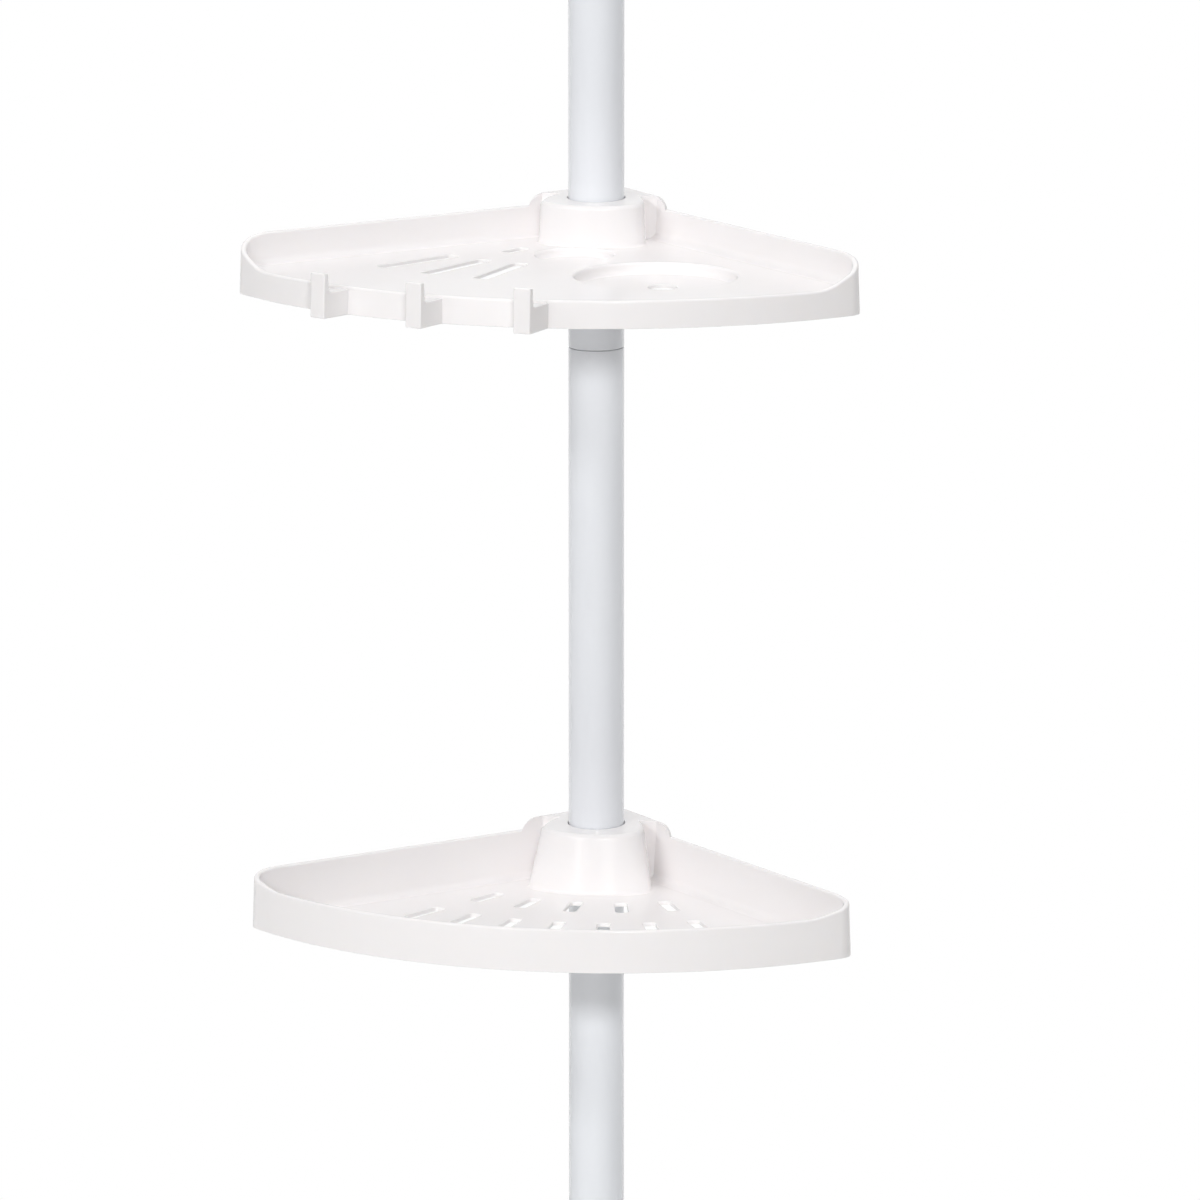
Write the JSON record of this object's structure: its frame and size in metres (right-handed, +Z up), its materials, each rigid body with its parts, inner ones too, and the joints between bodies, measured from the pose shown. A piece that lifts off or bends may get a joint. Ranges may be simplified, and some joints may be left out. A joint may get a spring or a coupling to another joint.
{
  "type": "tension pole shelf unit",
  "caption": "Corner shelf unit on a telescoping, spring-tensioned pole between floor and ceiling; moulded trays with drain slots, recesses and hooks slide and turn on the pole.",
  "frame": {"origin": "middle of the floor foot's underside, on the pole's axis", "axes": "+Z up along the pole towards the ceiling pad, -Y towards the shelves' rounded fronts, +X to the right seen from the front"},
  "size_m": [0.2792, 0.2178, 2.024],
  "materials": {
    "white_plastic": "moulded, glossy warm white",
    "painted_tube": "glossy cool white stove enamel on steel tube",
    "rubber": "matt light grey",
    "inner_plastic": "moulded, satin off-white",
    "zinc_steel": "zinc-plated"
  },
  "bodies": {
    "pole": {"floor_foot": "rubber", "foot_plug": "inner_plastic", "lower_tube": "painted_tube", "middle_tube": "painted_tube", "upper_tube": "painted_tube", "tube_collar": "white_plastic"},
    "lock": {"lock_sleeve": "inner_plastic"},
    "cone": {"lock_cone": "inner_plastic"},
    "extension": {"extension_tube": "painted_tube", "lock_spindle": "inner_plastic", "spindle_stop": "inner_plastic", "spring_seat": "inner_plastic", "seat_pin": "zinc_steel", "tension_spring": "zinc_steel", "top_bush": "white_plastic"},
    "plunger": {"plunger_piston": "inner_plastic", "plunger_stem": "painted_tube", "pad_plug": "inner_plastic", "ceiling_pad": "rubber"},
    "upper_clip": {"upper_clip_left": "inner_plastic", "upper_clip_right": "inner_plastic"},
    "upper_tray": {"upper_shelf": "white_plastic"},
    "lower_clip": {"lower_clip_left": "inner_plastic", "lower_clip_right": "inner_plastic"},
    "lower_tray": {"lower_shelf": "white_plastic"}
  },
  "joints": [
    {"name": "height_adjust", "type": "slide", "parent": "pole", "child": "lock", "axis": [0, 0, 1], "range_m": [-0.14, 0.15]},
    {"name": "twist_lock", "type": "hinge", "parent": "lock", "child": "extension", "pos_m": [0, 0, 1.25], "axis": [0, 0, 1], "range_deg": [0, 270]},
    {"name": "cone_travel", "type": "slide", "parent": "lock", "child": "cone", "axis": [0, 0, 1], "range_m": [-0.0016, 0]},
    {"name": "plunger_press", "type": "slide", "parent": "extension", "child": "plunger", "axis": [0, 0, 1], "range_m": [-0.045, 0], "stiffness_N_per_m": 2100, "springref_m": 0.02, "deforming": ["tension_spring"]},
    {"name": "upper_shelf_height", "type": "slide", "parent": "pole", "child": "upper_clip", "axis": [0, 0, 1], "range_m": [-0.1, 0.1]},
    {"name": "upper_shelf_swivel", "type": "hinge", "parent": "upper_clip", "child": "upper_tray", "pos_m": [0, 0, 1.065], "axis": [0, 0, 1], "range_deg": [-180, 180]},
    {"name": "lower_shelf_height", "type": "slide", "parent": "pole", "child": "lower_clip", "axis": [0, 0, 1], "range_m": [-0.1, 0.1]},
    {"name": "lower_shelf_swivel", "type": "hinge", "parent": "lower_clip", "child": "lower_tray", "pos_m": [0, 0, 0.775], "axis": [0, 0, 1], "range_deg": [-180, 180]}
  ],
  "couplings": [
    {"joint": "cone_travel", "follows": "twist_lock", "m_per_rad": -0.00031831}
  ]
}
